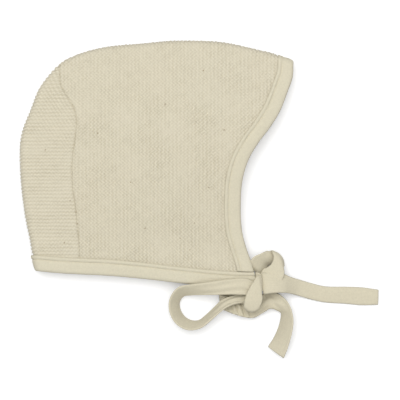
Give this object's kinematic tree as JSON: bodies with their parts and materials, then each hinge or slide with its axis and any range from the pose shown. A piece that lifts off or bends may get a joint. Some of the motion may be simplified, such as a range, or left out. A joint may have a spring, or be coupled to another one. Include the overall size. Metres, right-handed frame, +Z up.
{
  "type": "baby bonnet",
  "caption": "Soft knitted baby bonnet with a bound face opening and neck edge, folded flat on its side, its neck ties made up into a bow",
  "frame": {"origin": "under the middle of the whole, on the surface it lies on", "axes": "+Z up off the surface, thin way through both layers; +X from the back of the head to the face opening; +Y from the neck edge to the crown"},
  "size_m": [0.2352, 0.2064, 0.016],
  "materials": {
    "cream_knit": "matte ridged cotton knit",
    "cream_jersey": "smooth matte cotton jersey"
  },
  "bodies": {
    "root": {"back_panel": "cream_knit", "crown_panel": "cream_knit", "front_band": "cream_jersey", "neck_band": "cream_jersey", "tie_upper": "cream_jersey", "tie_lower": "cream_jersey"}
  },
  "joints": []
}
